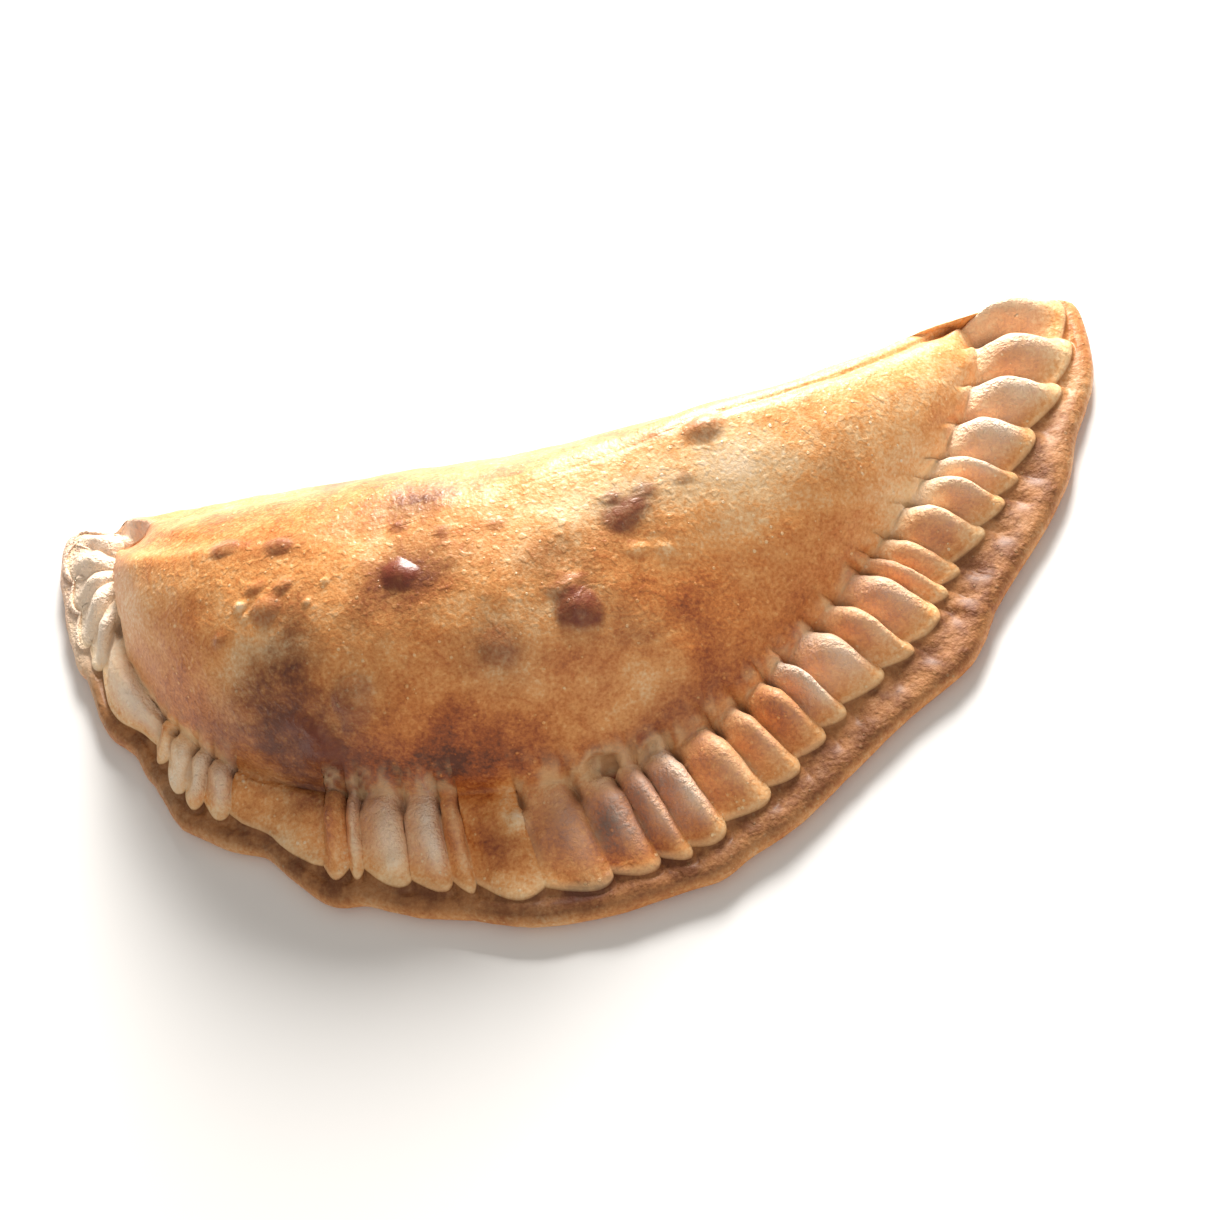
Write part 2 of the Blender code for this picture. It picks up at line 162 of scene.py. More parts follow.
# ---- blisters in the dome: middle, half length and half width in mm, turn in degrees, height, and scorching ----
BLISTERS = (                    # middle, half length and half width in mm, turn, height in mm, scorching
    (40, 28, 6.0, 4.2, 20, 1.7, 0.50),
    (-36, 3, 5.0, 4.0, 10, 1.4, 0.85),
    (3, -11, 5.6, 5.0, 0, 1.9, 0.85),
    (2, -6, 6.0, 2.2, 20, 0.9, 0.40),
    (18, 9, 6.5, 3.2, 30, 0.9, 0.70),
    (-53, -20, 5.5, 4.6, 0, 2.0, 0.35),
    (-65, -25, 5.6, 4.4, -20, 2.4, 0.60),
    (-67, -20, 5.5, 2.2, -15, 0.8, 0.40),
    (-70, 4, 4.4, 3.8, 0, 1.3, 0.45),
    (-65, 8, 3.2, 2.2, 30, 0.8, 0.45),
    (-72, 10, 2.6, 2.0, 0, 0.7, 0.35),
    (-17, -17, 4.6, 4.0, 0, 1.0, 0.40),
    (-65, 19, 4.2, 3.0, 0, 0.7, 0.50),
    (-79, 24, 4.0, 3.0, 0, 0.7, 0.45),
    (-83, 2, 2.2, 2.0, 0, 0.6, 0.35),
    (24, 14, 2.6, 2.1, 15, 0.5, 0.55),
    (33, 16, 2.4, 2.0, 10, 0.4, 0.40),
    (16, 13, 2.2, 1.9, 0, 0.5, 0.60),
    (29, 28, 2.8, 2.0, 15, 0.4, 0.35),
    (-35, 16, 2.2, 1.9, 0, 0.5, 0.55),
    (-12, 11, 2.4, 1.9, 0, 0.4, 0.35),
    (-25, 12, 2.2, 1.9, 0, 0.4, 0.45),
)
PALE_BUBBLES = (                # the same, but pale: the dough only puffed up there
    (-76, 7, 1.6, 1.5, 0, 1.0, 0.0),
    (-75, 4, 1.4, 1.4, 0, 0.6, 0.0),
    (19, 1, 3.6, 2.0, 10, 0.6, 0.0),
    (25, 1, 2.6, 1.9, 0, 0.6, 0.0),
    (-59, 2, 1.4, 1.3, 0, 0.7, 0.0),
    (-54, 6, 1.4, 1.4, 0, 0.5, 0.0),
)
RIM_BUBBLES = (                 # and on the pinches
    (-22, -47, 3.6, 3.4, 0, 2.2, 0.0),
    (-29, -46, 2.0, 1.8, 0, 1.0, 0.0),
    (-29, -59, 3.0, 2.4, 0, 1.2, 0.0),
    (-17, -52, 1.8, 1.6, 0, 0.8, 0.0),
    (-53, -50, 2.6, 2.0, 20, 0.8, 0.0),
)
TEARS = (                       # where the seam burst: middle, half length and half width in mm, turn, depth in mm
    (0, -39, 4.6, 2.0, 12, 2.2),
    (11, -38, 3.4, 1.2, 30, 1.2),
)
SAUCE = (0.5, -40.0, 1.4, 1.1, 0)     # what shows in the first of them: middle, half length and width, turn
SCORCHES = (                    # broad scorch marks: middle, half length and half width in mm, turn, strength
    (-30, 23, 12, 6, 10, 0.95),
    (-34, 1, 15, 8, 15, 0.80),
    (-36, 3, 9, 6, 10, 0.70),
    (4, -10, 9, 8, 0, 0.45),
    (18, 9, 10, 5, 28, 0.60),
    (-2, 1, 9, 5, 15, 0.45),
    (-17, -17, 8, 7, 0, 0.50),
    (-53, -20, 9, 7, 0, 0.30),
    (-73, -17, 12, 10, -40, 0.95),
    (-67, -10, 9, 7, 40, 0.80),
    (-66, -25, 9, 7, 0, 0.60),
    (-63, 0, 5, 7, -20, 0.55),
    (-66, -25, 11, 7, -10, 0.70),
    (-90, -13, 9, 7, 0, 0.40),
    (-65, 19, 7, 4, 0, 0.45),
    (-79, 24, 7, 4, 0, 0.40),
    (-49, 20, 7, 4, 0, 0.35),
    (-9, 28, 8, 4, 15, 0.45),
    (16, -16, 6, 5, 0, 0.30),
    (69, 19, 10, 5, 30, 0.25),
    (20, -33, 13, 5, 20, 0.35),
    (55, 44, 8, 4, 0, 0.30),
    (-52, 46, 9, 6, 0, 0.55),
    (-5, 48, 12, 6, 0, 0.50),
    (91, -21, 6, 4, 30, 0.45),
    (-11, -68, 8, 4, 10, 0.95),
    (-12, -50, 6, 5, 0, 0.30),
    (-27, -52, 5, 7, 10, 0.35),
    (-56, -58, 10, 4, -10, 0.45),
    (-86, -36, 10, 4, -40, 0.35),
)

TONES_AND_SHEEN = (                       # broad areas baked darker, or below 0 paler: as above; the pale areas along the top of the dome are a painted sheen of the light
    (-44, -31, 30, 8, 0, 0.60),
    (-68, -17, 8, 7, 0, 0.30),
    (28, -11, 14, 8, 0, 0.25),
    (2, -20, 10, 5, 0, 0.20),
    (-4, -53, 25, 11, 0, 0.85),
    (-33, -39, 7, 4, 0, 0.30),
    (44, 18, 20, 9, 10, -0.50),
    (86, 12, 10, 8, 20, -0.35),
    (84, 22, 26, 14, 25, -0.35),
    (14, 12, 14, 6, 15, -0.40),
    (-53, -20, 6, 5, 0, -0.30),
    (-22, -8, 12, 4, 0, -0.25),
    (-76, -5, 12, 5, 0, -0.40),
    (-53, -6, 8, 5, 0, -0.20),
    (-38, -2, 9, 5, 0, 0.20),
    (-126, 30, 14, 18, 0, -0.70),
    (-108, -13, 8, 10, -30, -0.70),
    (10, -29, 15, 4, 20, -0.45),
    (85, 1, 22, 7, 40, 0.22),
    (13, 30, 12, 6, 20, 0.20),
    (-62, 36, 40, 8, -5, 0.20),
    (100, 32, 10, 6, 30, 0.20),
)


def smooth(low, high, value):
    """0 at low, 1 at high, and an even S between them; low may be the greater one."""
    step = np.clip((value - low) / (high - low), 0.0, 1.0)
    return step * step * (3.0 - 2.0 * step)


def hump(middle, reach, value):
    """1 at the middle, falling off like a bell on both sides."""
    return np.exp(-((value - middle) / reach) ** 2)


def mix(first, second, share):
    return first + (second - first) * share


def length_of(points):
    return np.hypot(*(np.roll(points, -1, axis=0) - points).T).sum()


def resample(points, count):
    """The same closed curve with its points evenly spaced."""
    closed = np.vstack([points, points[:1]])
    travelled = np.r_[0.0, np.cumsum(np.hypot(*np.diff(closed, axis=0).T))]
    wanted = np.linspace(0.0, travelled[-1], count, endpoint=False)
    return np.stack([np.interp(wanted, travelled, closed[:, axis]) for axis in (0, 1)], axis=1)


def soften(points, radius):
    """Round the corners of a closed curve, by a bell-shaped average along it."""
    waves = np.fft.rfftfreq(len(points), d=length_of(points) / len(points))
    bell = np.exp(-2.0 * (np.pi * waves * radius) ** 2)
    return np.fft.irfft(np.fft.rfft(points, axis=0) * bell[:, None], n=len(points), axis=0)


def dough_noise(points, size, seed=0.0):
    """Even noise between about -1 and 1, with lumps of a given size, at every point of an array."""
    flat = points.reshape(-1, 3) / size + seed
    values = np.fromiter((noise.noise(place) for place in flat.tolist()), float, len(flat))
    return values.reshape(points.shape[:-1])


# ======================== the crust's surface ========================

class Plan:
    """A half-moon seen from above, clockwise from behind its right tip: the pinched stretch, then the fold."""

    def __init__(self, sizes, softening=CORNER_SOFTENING):
        points = resample(soften(resample(self.corners(sizes), PLAN_STEPS), softening), PLAN_STEPS)
        self.length = length_of(points)
        start = np.argmax(points[:, 0]) - round(sizes["wrap_right"] / self.length * PLAN_STEPS)
        self.points = np.roll(points, -start, axis=0)
        left_tip = np.argmin(self.points[:, 0]) / PLAN_STEPS
        self.pinched = left_tip * self.length + sizes["wrap_left"]

    @staticmethod
    def corners(sizes):
        turn = np.linspace(0.0, np.pi, PLAN_STEPS)
        power = 2.0 / mix(sizes["power_right"], sizes["power_left"], smooth(0.2 * np.pi, 0.8 * np.pi, turn))
        half = np.where(turn < np.pi / 2, sizes["half_right"], sizes["half_left"])
        front_x = sizes["deepest_x"] + half * np.sign(np.cos(turn)) * np.abs(np.cos(turn)) ** power
        front_y = -sizes["depth"] * np.sin(turn) ** power
        fold_x = np.linspace(front_x[-1], front_x[0], PLAN_STEPS)[1:-1]
        from_middle = np.abs(fold_x - FOLD_SAG_MIDDLE) / FOLD_SAG_REACH
        turned = smooth(sizes["turns_from"], fold_x[-1], fold_x)
        set_back = mix(sizes["set_back_left"], sizes["set_back_right"], turned)
        fold_y = set_back - sizes["sag"] * (1.0 - from_middle ** FOLD_SAG_POWER)
        return np.stack([np.r_[front_x, fold_x], np.r_[front_y, fold_y]], axis=1)

    def at(self, pinched_share, fold_share):
        """Points at shares of the pinched stretch, or of the fold where fold_share is above 0."""
        travelled = pinched_share * self.pinched + fold_share * (self.length - self.pinched)
        closed = np.vstack([self.points, self.points[:1]])
        steps = np.linspace(0.0, self.length, PLAN_STEPS + 1)
        return np.stack([np.interp(travelled, steps, closed[:, axis]) for axis in (0, 1)], axis=1)


def columns():
    """Shares of the pinched stretch and of the fold, number of the pinch and place across it, for every column."""
    widths = np.array([pinch[0] for pinch in PINCHES], float)
    grooves = np.r_[0.0, np.cumsum(widths)] / widths.sum()
    share, number, phase = [], [], []
    for place, width in enumerate(widths):
        count = COLUMNS_PER_PINCH + round(COLUMNS_PER_MM * width)
        step = np.arange(count) / count
        across = step - PHASE_CROWDING * np.sin(2.0 * np.pi * step)
        share.append(mix(grooves[place], grooves[place + 1], across))
        number.append(np.full(count, place))
        phase.append(across)
    on_fold = np.ones(FOLD_COLUMNS)
    fold_share = np.linspace(0.0, 1.0, FOLD_COLUMNS, endpoint=False)
    fold_share = fold_share - FOLD_CROWDING * np.sin(2.0 * np.pi * fold_share) / (2.0 * np.pi)
    return (
        np.r_[np.concatenate(share), on_fold],
        np.r_[np.zeros(sum(map(len, share))), fold_share],
        np.r_[np.concatenate(number), on_fold.astype(int) * len(PINCHES)],
        np.r_[np.concatenate(phase), 0.0 * on_fold],
    )


def lip_width(share):
    """From the edge to where the upper sheet ends: little at the right tip, and most just after it."""
    right = mix(LIP_TIP, LIP_RIGHT, smooth(0.03, 0.17, share))
    return mix(mix(right, LIP_FRONT, smooth(0.25, 0.50, share)), LIP_LEFT, smooth(0.62, 0.85, share))


def lean_at(share):
    """Share of the pinched stretch by which a groove's inner end is moved on; none at the two ends."""
    lean = LEAN * (share - LEAN_FREE) + LEAN_LEFT_END * smooth(0.80, 0.88, share)
    return lean * smooth(0.0, FADE_RIGHT, share) * smooth(0.0, FADE_LEFT, 1.0 - share)


def dome_section(share):
    """Height, 1 on top, at a distance from the top given as a share of the way down to the foot."""
    return (1.0 - np.clip(share, 0.0, 1.0) ** DOME_FULLNESS) ** DOME_STEEPNESS


def edge_cuts(share):
    """The lower sheet was cut with a knife: its edge is a run of nearly straight cuts."""
    depths = np.random.default_rng(5).uniform(-EDGE_CUT_DEPTH, EDGE_CUT_DEPTH, EDGE_CUTS)
    depths[[0, -1]] = 0.0
    places = np.linspace(0.0, 1.0, EDGE_CUTS)
    return np.interp(share, places, depths)


class Crust:
    """Rings of points round the crust; every array here has one value for each column."""

    def __init__(self, share, fold_share, number, phase):
        self.share, self.number, self.phase = share, number, phase
        edge_plan = Plan(EDGE_PLAN)
        self.edge = edge_plan.at(share, fold_share)
        self.seam_place = (share + lean_at(share), fold_share)
        self.seam = Plan(SEAM_PLAN).at(*self.seam_place)
        self.border = np.hypot(*(self.seam - self.edge).T)
        self.inward = (self.seam - self.edge) / self.border[:, None]
        self.to_top = np.hypot(*(self.seam - DOME_TOP).T)
        from_pinches = np.minimum(fold_share, 1.0 - fold_share)
        fold_length = edge_plan.length - edge_plan.pinched
        self.fold = smooth(0.0, FOLD_BLEND_LEFT, fold_share * fold_length)
        self.fold = self.fold * smooth(0.0, FOLD_BLEND_RIGHT, (1.0 - fold_share) * fold_length)
        self.left_end = smooth(LEFT_END_FROM, LEFT_END_FROM + 0.05, share)
        self.left_end = self.left_end * smooth(LEFT_END_FOLD, LEFT_END_FOLD / 2, fold_share * fold_length)
        grown = np.clip(from_pinches / FOLD_RUN_OUT, 0.0, 1.0) ** FOLD_GROWTH
        self.waist = mix(SEAM_FLOOR, FOLD_WAIST, grown)
        self.shoulder = mix(1.0, self.to_top / (self.border + self.to_top), grown)
        lumps = sum(height * np.exp(-((share - place) / width) ** 2) for place, width, height in EDGE_LUMPS)
        lumps = lumps + edge_cuts(share)
        self.edge = self.edge - self.inward * lumps[:, None]
        self.border = self.border + lumps
        rise, skew, self.flour, self.browning = self.of_pinches(1, 2, 3, 4)
        self.rise = rise * MM
        self.crest = np.sin(np.pi * phase ** skew) * (number < len(PINCHES))
        self.lip = lip_width(share) + SCALLOP * (0.5 - self.crest)
        self.from_groove = np.minimum(phase, 1.0 - phase)
        self.pit = PIT_DEPTH * np.exp(-(self.from_groove / PIT_REACH) ** 2) * (self.rise > SHARP_PINCH)
        self.width = self.of_pinches(0)[0] * MM

    def of_pinches(self, *values):
        """What the table of pinches says, for every column; the fold counts as one more, flat pinch."""
        table = np.array(PINCHES + ((1, 0.0, 1.0, 0.0, 0.0),))
        return [table[self.number, value] for value in values]

    def ring(self, inset, height):
        """One ring between edge and seam, at a distance from the edge."""
        plan = self.edge + self.inward * inset[:, None]
        return np.column_stack([plan, height])

    def base_ring(self, step):
        """On the flat underside, from its rim (0) to its middle (1)."""
        rim = self.edge_ring(0.0)
        shrunk = (1.0 - step) * np.array([1.0 + DOME_LENGTHENING * step, 1.0])
        plan = DOME_TOP + (rim[:, :2] - DOME_TOP) * shrunk
        return np.column_stack([plan, rim[:, 2]])

    def edge_ring(self, step):
        """From the base (0) round the outside: to the top of the lip, or to the waist of the fold (1)."""
        angle = np.pi * (step - 0.5)
        lip_inset = LIP_ROUNDING * (1.0 - np.cos(angle))
        half_height = LIP_WAIST if step < 0.5 else LIP_TOP - LIP_WAIST
        lip_height = LIP_WAIST + half_height * np.sin(angle)
        fold_inset = FOLD_UNDERCUT * (1.0 - np.sin(np.pi / 2 * step))
        fold_height = self.waist * (1.0 - np.cos(np.pi / 2 * step))
        return self.ring(mix(lip_inset, fold_inset, self.fold), mix(lip_height, fold_height, self.fold))

    def border_ring(self, step):
        """From the lip's outer edge (-1) to the end of the upper sheet (0) and over the pinches to the seam (1)."""
        if step < 0.0:
            inset = mix(self.lip, LIP_ROUNDING, -step)
        else:
            inset = mix(self.lip, self.border, step)
        fold_inset = self.border * ((step + 1.0) / 2.0) ** 2
        from_top = mix(1.0, self.shoulder, fold_inset / self.border)
        height = mix(self.border_height(step), self.fold_height(from_top), self.fold)
        return self.ring(mix(inset, fold_inset, self.fold), height)

    def border_height(self, step):
        floor = mix(LIP_TOP, SEAM_FLOOR, smooth(-0.2, 1.0, step)) + SHEET_STEP * smooth(0.0, 0.05, step)
        body = smooth(-0.10, 0.56, step) * (1.0 - END_TAPER * smooth(0.60, 1.0, step))
        ridge = self.crest ** mix(END_SHARPNESS, 1.0, smooth(0.0, 0.6, step))
        crease = SEAM_CREASE * smooth(0.85, 1.0, step)
        pit = self.pit * smooth(0.68, 0.86, step) * (1.0 - 0.4 * smooth(0.92, 1.0, step))
        return floor + self.rise * ridge * body - crease - pit

    def fold_height(self, from_top):
        return self.waist + (HEIGHT - self.waist) * dome_section(from_top)

    def dome_ring(self, step):
        """From the seam (0) to the top of the dome (1)."""
        level_line = Plan(SEAM_PLAN, CORNER_SOFTENING + DOME_SOFTENING * step).at(*self.seam_place)
        shrunk = (1.0 - step) * np.array([1.0 + DOME_LENGTHENING * step, 1.0])
        plan = DOME_TOP + (level_line - DOME_TOP) * shrunk
        from_top = np.hypot(*(plan - DOME_TOP).T) / self.to_top
        foot = (self.border_height(1.0) - SEAM_FLOOR) * (1.0 - smooth(0.0, FOOT_FADE, step))
        front_height = SEAM_FLOOR + foot + (HEIGHT - SEAM_FLOOR) * dome_section(from_top)
        fold_height = self.fold_height(self.shoulder * from_top)
        return swollen(np.column_stack([plan, mix(front_height, fold_height, self.fold)]))


def swollen(points):
    """Slow unevenness of the dough, which leaves the foot of the dome as it is."""
    x, y, z = points.T
    waves = sum(height * np.sin(x / span + turn) * np.cos(y / span - turn) for height, span, turn in SWELLS)
    return np.stack([x, y, z + waves * smooth(SEAM_FLOOR, HEIGHT / 2, z)], axis=1)


class Surface:
    """The crust as a net of points, ring by ring from the top of the dome to the middle of the base.

    travel tells where a ring lies: -3 to -2 on the base, to -1 round the edge, to 0 on the lip, to 1 on the
    pinches and to 2 up the dome.
    """

    def __init__(self):
        self.crust = Crust(*columns())
        stretches = (
            (self.crust.base_ring, BASE_STEPS, lambda step: -2.0 - step),
            (self.crust.edge_ring, EDGE_STEPS, lambda step: -2.0 + step),
            (self.crust.border_ring, LIP_STEPS, lambda step: step),
            (self.crust.border_ring, PINCH_STEPS, lambda step: step),
            (self.crust.dome_ring, DOME_STEPS, lambda step: 1.0 + step),
        )
        rings = [make(step) for make, steps, _ in stretches for step in steps]
        travel = [where(step) for _, steps, where in stretches for step in steps]
        self.points = np.array(rings[::-1])
        self.travel = np.array(travel[::-1])[:, None]
        self.top = swollen(np.array([[*DOME_TOP, HEIGHT]]))
        self.base = np.array([[*DOME_TOP, 0.0]])
        self.marks = {}
        self.ease_fold()

    def ease_fold(self):
        """The fold has no seam, so its points are evened out along their columns."""
        eased = self.crust.fold * smooth(-1.0, -0.4, self.travel) * smooth(1.95, 1.6, self.travel)
        for _ in range(FOLD_EASING):
            even = (self.points[:-2] + 2.0 * self.points[1:-1] + self.points[2:]) / 4.0
            self.points[1:-1] = mix(self.points[1:-1], even, eased[1:-1, :, None])

    def fit_to(self, low, high):
        """Move and stretch the net a little so that its box is the solid's."""
        lowest, highest = self.points.min(axis=(0, 1)), self.points.max(axis=(0, 1))
        scale = (np.array(high) - np.array(low)) / (highest - lowest)
        for name in ("points", "top", "base"):
            setattr(self, name, np.array(low) + (getattr(self, name) - lowest) * scale)

    def normals(self):
        down = np.gradient(self.points, axis=0)
        onward = np.roll(self.points, -1, axis=1) - np.roll(self.points, 1, axis=1)
        across = np.cross(down, onward)
        lengths = np.linalg.norm(across, axis=2, keepdims=True)
        return -across / np.maximum(lengths, 1e-12)

    def raise_by(self, relief):
        self.points = self.points + self.normals() * relief[..., None]

    def shift_along(self, distance):
        """Slide points along the rim, against the order of the pinches."""
        onward = np.roll(self.points, -1, axis=1) - np.roll(self.points, 1, axis=1)
        lengths = np.linalg.norm(onward, axis=2, keepdims=True)
        self.points = self.points - onward / np.maximum(lengths, 1e-12) * distance[..., None]


# ======================== what baking did to it ========================

def in_ellipse(surface, x, y, half_length, half_width, turn):
    """Distance from the middle of a lying, ragged ellipse, 1 on its rim. Sizes in mm, turn in degrees."""
    from_middle = surface.points[..., :2] / MM - np.array([x, y])
    cosine, sine = np.cos(np.radians(turn)), np.sin(np.radians(turn))
    lengthways = from_middle[..., 0] * cosine + from_middle[..., 1] * sine
    crossways = from_middle[..., 1] * cosine - from_middle[..., 0] * sine
    return np.hypot(lengthways / half_length, crossways / half_width) * surface.raggedness


def blisters(surface, table):
    """Relief of rounded blisters, and how far each point lies in one, times its scorching."""
    relief, scorching = (np.zeros(surface.points.shape[:2]) for _ in range(2))
    for x, y, half_length, half_width, turn, height, scorch in table:
        distance = in_ellipse(surface, x, y, half_length, half_width, turn)
        relief += height * MM * np.clip(1.0 - distance ** 2, 0.0, 1.0) ** 1.3
        scorching = np.maximum(scorching, scorch * smooth(1.20, 0.70, distance))
    return relief, scorching


def torn_seam(surface):
    """Relief of the places where the seam burst: an eye-shaped hollow with a raised rim. Also hollow and rim alone."""
    relief, hollows, rims = (np.zeros(surface.points.shape[:2]) for _ in range(3))
    for x, y, half_length, half_width, turn, depth in TEARS:
        distance = in_ellipse(surface, x, y, half_length, half_width, turn)
        hollow, rim = smooth(1.1, 0.5, distance), hump(1.15, 0.28, distance)
        relief += (0.45 * rim - depth * hollow) * MM
        hollows, rims = np.maximum(hollows, hollow), np.maximum(rims, rim)
    return relief, hollows, rims


def scorch_marks(surface):
    """Overlapping soft marks: the stronger they are together, the nearer to 1."""
    bare = np.ones(surface.points.shape[:2])
    for x, y, half_length, half_width, turn, strength in SCORCHES:
        distance = in_ellipse(surface, x, y, half_length, half_width, turn)
        bare *= 1.0 - strength * np.exp(-distance ** 2)
    return 1.0 - bare


def tones_and_sheen(surface):
    """How much darker each point is coloured, or paler where it is below 0: baked tone, and in the pale areas along
    the top of the dome a painted sheen.
    """
    darker = np.zeros(surface.points.shape[:2])
    for x, y, half_length, half_width, turn, strength in TONES_AND_SHEEN:
        darker += strength * np.exp(-in_ellipse(surface, x, y, half_length, half_width, turn) ** 2)
    return darker


def bake(surface):
    """Work the relief into the net and note its marks, from the broad to the fine."""
    crust, travel = surface.crust, surface.travel
    on_dome = smooth(1.0, 1.12, travel)
    on_pinches = smooth(-0.02, 0.06, travel) * (1.0 - smooth(0.95, 1.06, travel)) * (1.0 - crust.fold)
    on_lip = smooth(-1.6, -1.1, travel) * (1.0 - smooth(-0.02, 0.03, travel)) * (1.0 - crust.fold)
    above_base = smooth(-2.0, -1.2, travel)
    sharp = (1.0 - crust.fold) * (crust.rise > SHARP_PINCH)
    start = surface.points

    surface.shift_along(OVERHANG * on_pinches * crust.crest * np.exp(-crust.phase / 0.25))
    surface.raggedness = 1.0 + 0.25 * dough_noise(start, 4 * MM, 29.0)
    lumps = 0.55 * dough_noise(start, 15 * MM) + 0.28 * dough_noise(start, 7 * MM, 3.0)
    lumps += 0.16 * dough_noise(start, 2.6 * MM, 7.0) * (1.0 - on_dome)
    lumps += 0.80 * dough_noise(start, 5.5 * MM, 19.0) * on_pinches * smooth(0.50, 0.62, crust.share)
    puffs, scorching = blisters(surface, BLISTERS)
    bubbles, _ = blisters(surface, PALE_BUBBLES)
    rim_bubbles, _ = blisters(surface, RIM_BUBBLES)
    tears, hollows, tear_rims = torn_seam(surface)
    creases = np.abs(dough_noise(start * np.array([1.0, 1.0, 0.6]), 3.2 * MM, 11.0))
    seam_web = hump(1.0, 0.05, travel) * sharp
    lip_cells = on_lip * hump(-0.45, 0.25, travel) * hump(0.0, 0.22, crust.from_groove)
    sheet_rim = hump(0.03, 0.03, travel) * (1.0 - crust.fold)
    relief = lumps * above_base + seam_web * (0.4 - creases) - 0.9 * lip_cells + 0.25 * sheet_rim
    left_end = crust.left_end * smooth(1.02, 0.92, travel)
    filled = on_pinches * (1.0 - crust.crest) + on_lip * smooth(-0.9, -0.1, travel)
    relief = relief * MM + LEFT_END_FILL * left_end * filled * (1.0 - crust.fold)
    surface.raise_by(relief + (puffs + bubbles) * on_dome + rim_bubbles * on_pinches + tears)

    # painted highlight along the lit upper side of each pinch's crest
    painted_crest_highlight = hump(0.27, 0.26, crust.phase) * crust.crest
    flank = hump(0.55, 0.26, crust.phase)
    x, _, z = np.moveaxis(surface.points, -1, 0)
    # painted shade: the low front of the dome, which faces away from the light behind, is coloured darker
    low_front_shade = smooth(34 * MM, 12 * MM, z) * smooth(75 * MM, 25 * MM, x)
    in_groove_shade = np.maximum(hump(0.0, 0.06, crust.phase), hump(1.0, 0.12, crust.phase))
    surface.marks = {
        "scorch": scorch_marks(surface) * smooth(-1.0, -0.7, travel),
        "tone": tones_and_sheen(surface) * smooth(-1.6, -1.0, travel),
        "blister": scorching * on_dome,
        # real flour on the pinches, laid on thickest along each crest as a painted highlight; and the floured folds at
        # the left end
        "flour": np.maximum(
            crust.flour * on_pinches * (0.40 + 0.60 * painted_crest_highlight) * smooth(0.05, 0.4, travel),
            0.85 * left_end * smooth(-1.8, -1.0, travel),
        ),
        "browned": crust.browning * on_pinches * flank * hump(0.55, 0.38, travel),
        # painted shade: each pinch grows darker from its crest towards the next groove, on the side turned away from
        # the light
        "flank": on_pinches * smooth(0.35, 0.85, crust.phase) * smooth(0.9, 0.6, travel),
        "lip": on_lip * (1.0 - 0.9 * left_end) * (1.0 - 0.6 * smooth(0.14, 0.04, crust.share)),
        "rim": np.maximum(0.9 * sheet_rim, seam_web * smooth(0.12, 0.4, creases)) + 0.8 * tear_rims,
        # painted shade: the grooves between the pinches, and the pits at their inner ends, are coloured darker
        "groove": on_pinches * in_groove_shade * sharp * smooth(0.1, 0.4, travel) * (1.0 - 0.6 * left_end),
        "pit": hump(0.86, 0.16, travel) * hump(0.0, 0.14, crust.from_groove) * sharp * (1.0 - 0.5 * left_end),
        "hollow": hollows,
        "sauce": smooth(1.3, 0.7, in_ellipse(surface, *SAUCE)),
        "pinches": on_pinches,
        "bubble": (bubbles * on_dome + 0.5 * rim_bubbles * on_pinches) / MM,
        "shaded": low_front_shade * smooth(1.0, 1.06, travel) * (1.0 - crust.fold),
        "under": 1.0 - smooth(-2.0, -1.5, travel),
    }


def sculpted_crust():
    """A flat grid with a row for each ring is rolled up: its points take their places, and its open sides meet."""
    surface = Surface()
    low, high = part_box("crust")
    surface.fit_to(low, high)
    bake(surface)
    surface.fit_to(low, high)
    ring_count, segments = surface.points.shape[:2]
    bpy.ops.mesh.primitive_grid_add(x_subdivisions=segments, y_subdivisions=ring_count + 1, size=2.0)
    piece = bpy.context.active_object
    piece.name = "baked_crust"
    mesh = piece.data
    places = np.empty(len(mesh.vertices) * 3)
    mesh.vertices.foreach_get("co", places)
    x, y, _ = places.reshape(-1, 3).T
    row = np.rint((1.0 - y) / 2.0 * (ring_count + 1)).astype(int)
    column = np.rint((1.0 - x) / 2.0 * segments).astype(int) % segments
    net = np.concatenate([
        np.repeat(surface.top[None], segments, axis=1),
        surface.points,
        np.repeat(surface.base[None], segments, axis=1),
    ])
    mesh.vertices.foreach_set("co", net[row, column].ravel())
    for name, mark in surface.marks.items():
        mark = np.broadcast_to(mark, surface.points.shape[:2])
        padded = np.concatenate([mark[:1], mark, mark[-1:]])
        layer = mesh.attributes.new(name, "FLOAT", "POINT")
        layer.data.foreach_set("value", padded[row, column].astype(np.float32))
    mesh.update()
    bpy.ops.object.mode_set(mode="EDIT")
    bpy.ops.mesh.select_all(action="SELECT")
    bpy.ops.mesh.remove_doubles(threshold=MERGE_DISTANCE)
    bpy.ops.mesh.normals_make_consistent(inside=False)
    bpy.ops.object.mode_set(mode="OBJECT")
    bpy.ops.object.shade_smooth()
    return piece


# ======================== finishes ========================

class Value:
    """A number in a finish. Its sums and products add the Math nodes that work them out."""

    def __init__(self, finish, socket):
        self.finish, self.socket = finish, socket

    def __add__(self, other):
        return self.finish.math("ADD", self, other)

    def __sub__(self, other):
        return self.finish.math("SUBTRACT", self, other)

    def __rsub__(self, other):
        return self.finish.math("SUBTRACT", other, self)

    def __mul__(self, other):
        return self.finish.math("MULTIPLY", self, other)

    def __pow__(self, other):
        return self.finish.math("POWER", self, other)

    __radd__, __rmul__ = __add__, __mul__

    def between(self, low, high):
        """0 below low, 1 above high, and an even S between them."""
        settings = {"interpolation_type": "SMOOTHSTEP"}
        sockets = {"Value": self, "From Min": low, "From Max": high}
        return Value(self.finish, self.finish.node("ShaderNodeMapRange", settings, sockets).outputs["Result"])

    def clamped(self):
        return self.finish.math("MAXIMUM", self.finish.math("MINIMUM", self, 1.0), 0.0)


